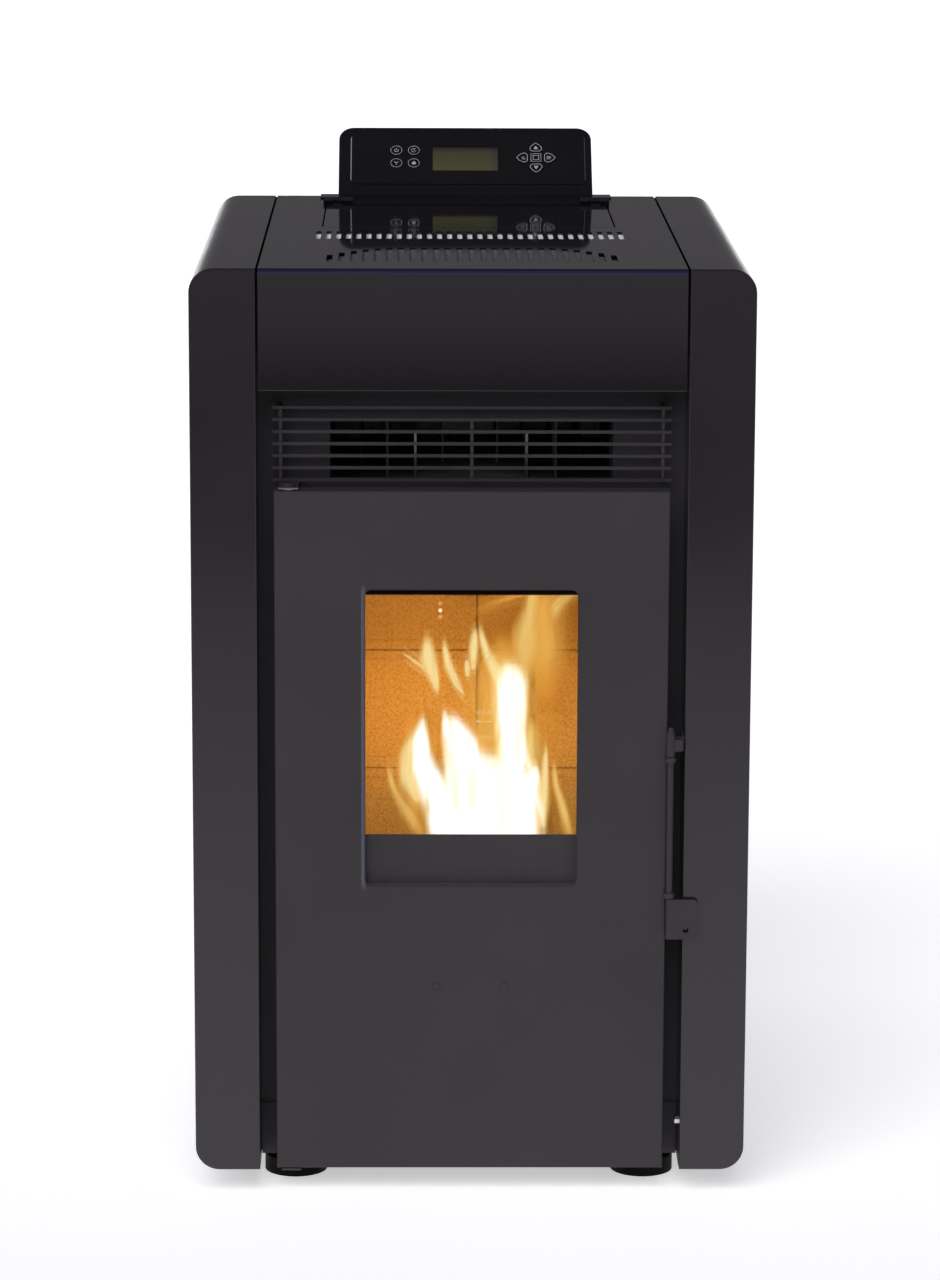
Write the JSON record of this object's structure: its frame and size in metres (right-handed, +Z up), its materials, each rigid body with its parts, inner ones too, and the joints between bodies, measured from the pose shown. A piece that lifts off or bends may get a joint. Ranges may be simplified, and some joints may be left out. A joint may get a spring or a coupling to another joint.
{
  "type": "pellet stove",
  "caption": "Free-standing pellet stove with a glazed hinged door, top hopper lid, leaning control panel, warm-air grille, and rear flue and air spigots.",
  "frame": {"origin": "on the floor, under the middle of the overall box", "axes": "+X to the right seen from the front, -Y to the front (the door), +Z up"},
  "size_m": [0.46, 0.6455, 0.8378],
  "materials": {
    "casing_paint": "satin black powder paint",
    "door_paint": "matte black heat-proof paint",
    "handle_paint": "matte black heat-proof paint",
    "inner_paint": "matte black paint",
    "grille_paint": "satin black paint",
    "rear_paint": "matte black paint",
    "stove_steel": "matte heat-proof steel",
    "galvanised": "spangled galvanised sheet",
    "bright_steel": "bright steel",
    "chrome": "plated",
    "aluminium": "mill finish",
    "motor_black": "satin black",
    "cast_iron": "raw cast iron",
    "firebrick": "vermiculite board, warm in the firelight",
    "rope": "braided glass fibre",
    "glass": "clear ceramic glass",
    "gloss_black": "gloss black",
    "fascia_black": "gloss black film",
    "key_black": "gloss black film with pale icons",
    "display": "unlit olive liquid-crystal display",
    "electric_black": "matte black",
    "board_green": "green circuit board",
    "switch_plastic": "pale grey plastic",
    "foot_plastic": "matte black"
  },
  "bodies": {
    "stove": {"base_tray": "inner_paint", "levelling_feet": "foot_plastic", "side_casing_left": "casing_paint", "side_casing_right": "casing_paint", "top_cover": "casing_paint", "vent_baffles": "galvanised", "rear_panel": "rear_paint", "rear_screws": "chrome", "front_frame": "inner_paint", "firebox_shell": "stove_steel", "fire_bricks": "firebrick", "igniter": "bright_steel", "ash_pan": "galvanised", "air_duct": "galvanised", "heat_exchanger": "stove_steel", "room_fan_housing": "galvanised", "room_fan_motor": "motor_black", "outlet_grille": "grille_paint", "hopper": "galvanised", "lid_hinges": "casing_paint", "auger_tube": "stove_steel", "pellet_chute": "stove_steel", "auger_motor": "motor_black", "smoke_fan_housing": "stove_steel", "flue_spigot": "stove_steel", "smoke_fan_motor": "motor_black", "air_inlet_pipe": "galvanised", "hinge_brackets": "inner_paint", "door_catch": "inner_paint", "casing_bolt": "chrome", "control_housing": "gloss_black", "control_fascia": "fascia_black", "control_display": "display", "control_bracket": "inner_paint", "power_inlet": "electric_black", "control_board": "board_green", "pressure_switch": "switch_plastic"},
    "door": {"door_panel": "door_paint", "door_frame": "inner_paint", "door_seals": "rope", "door_glass": "glass", "ash_guard": "door_paint", "glass_clamps": "bright_steel", "door_rivets": "door_paint"},
    "handle": {"door_handle": "handle_paint"},
    "lid": {"hopper_lid": "casing_paint"},
    "pot": {"burn_pot": "cast_iron"},
    "auger": {"auger_screw": "bright_steel"},
    "room_fan": {"room_fan_rotor": "aluminium"},
    "smoke_fan": {"smoke_impeller": "bright_steel"},
    "rocker": {"power_rocker": "electric_black"},
    "key_power": {"key_power": "key_black"},
    "key_timer": {"key_timer": "key_black"},
    "key_menu": {"key_menu": "key_black"},
    "key_fan": {"key_fan": "key_black"},
    "key_up": {"key_up": "key_black"},
    "key_left": {"key_left": "key_black"},
    "key_down": {"key_down": "key_black"},
    "key_right": {"key_right": "key_black"},
    "key_centre": {"key_centre": "key_black"}
  },
  "joints": [
    {"name": "door_hinge", "type": "hinge", "parent": "stove", "child": "door", "pos_m": [-0.15, -0.30325, 0.0205], "axis": [0, 0, -1], "range_deg": [0, 115]},
    {"name": "handle_turn", "type": "hinge", "parent": "door", "child": "handle", "pos_m": [0.1645, -0.31825, 0.2221], "axis": [0, 0, -1], "range_deg": [0, 90]},
    {"name": "lid_hinge", "type": "hinge", "parent": "stove", "child": "lid", "pos_m": [0, 0.17775, 0.7834], "axis": [-1, 0, 0], "range_deg": [0, 95]},
    {"name": "pot_lift", "type": "slide", "parent": "stove", "child": "pot", "axis": [0, 0, 1], "range_m": [0, 0.06]},
    {"name": "auger_turn", "type": "hinge", "parent": "stove", "child": "auger", "pos_m": [0, 0.02275, 0.5505], "axis": [0, 1, 0], "continuous": true},
    {"name": "room_fan_spin", "type": "hinge", "parent": "stove", "child": "room_fan", "pos_m": [0, 0.06875, 0.2665], "axis": [1, 0, 0], "continuous": true},
    {"name": "smoke_fan_spin", "type": "hinge", "parent": "stove", "child": "smoke_fan", "pos_m": [-0.09, 0.09475, 0.1325], "axis": [1, 0, 0], "continuous": true},
    {"name": "rocker_tip", "type": "hinge", "parent": "stove", "child": "rocker", "pos_m": [0.146, 0.24275, 0.0865], "axis": [1, 0, 0], "range_deg": [0, 14]},
    {"name": "key_power_press", "type": "slide", "parent": "stove", "child": "key_power", "axis": [0, 0.682, -0.7314], "range_m": [0, 0.0005], "stiffness_N_per_m": 3000},
    {"name": "key_timer_press", "type": "slide", "parent": "stove", "child": "key_timer", "axis": [0, 0.682, -0.7314], "range_m": [0, 0.0005], "stiffness_N_per_m": 3000},
    {"name": "key_menu_press", "type": "slide", "parent": "stove", "child": "key_menu", "axis": [0, 0.682, -0.7314], "range_m": [0, 0.0005], "stiffness_N_per_m": 3000},
    {"name": "key_fan_press", "type": "slide", "parent": "stove", "child": "key_fan", "axis": [0, 0.682, -0.7314], "range_m": [0, 0.0005], "stiffness_N_per_m": 3000},
    {"name": "key_up_press", "type": "slide", "parent": "stove", "child": "key_up", "axis": [0, 0.682, -0.7314], "range_m": [0, 0.0005], "stiffness_N_per_m": 3000},
    {"name": "key_left_press", "type": "slide", "parent": "stove", "child": "key_left", "axis": [0, 0.682, -0.7314], "range_m": [0, 0.0005], "stiffness_N_per_m": 3000},
    {"name": "key_down_press", "type": "slide", "parent": "stove", "child": "key_down", "axis": [0, 0.682, -0.7314], "range_m": [0, 0.0005], "stiffness_N_per_m": 3000},
    {"name": "key_right_press", "type": "slide", "parent": "stove", "child": "key_right", "axis": [0, 0.682, -0.7314], "range_m": [0, 0.0005], "stiffness_N_per_m": 3000},
    {"name": "key_centre_press", "type": "slide", "parent": "stove", "child": "key_centre", "axis": [0, 0.682, -0.7314], "range_m": [0, 0.0005], "stiffness_N_per_m": 3000}
  ]
}
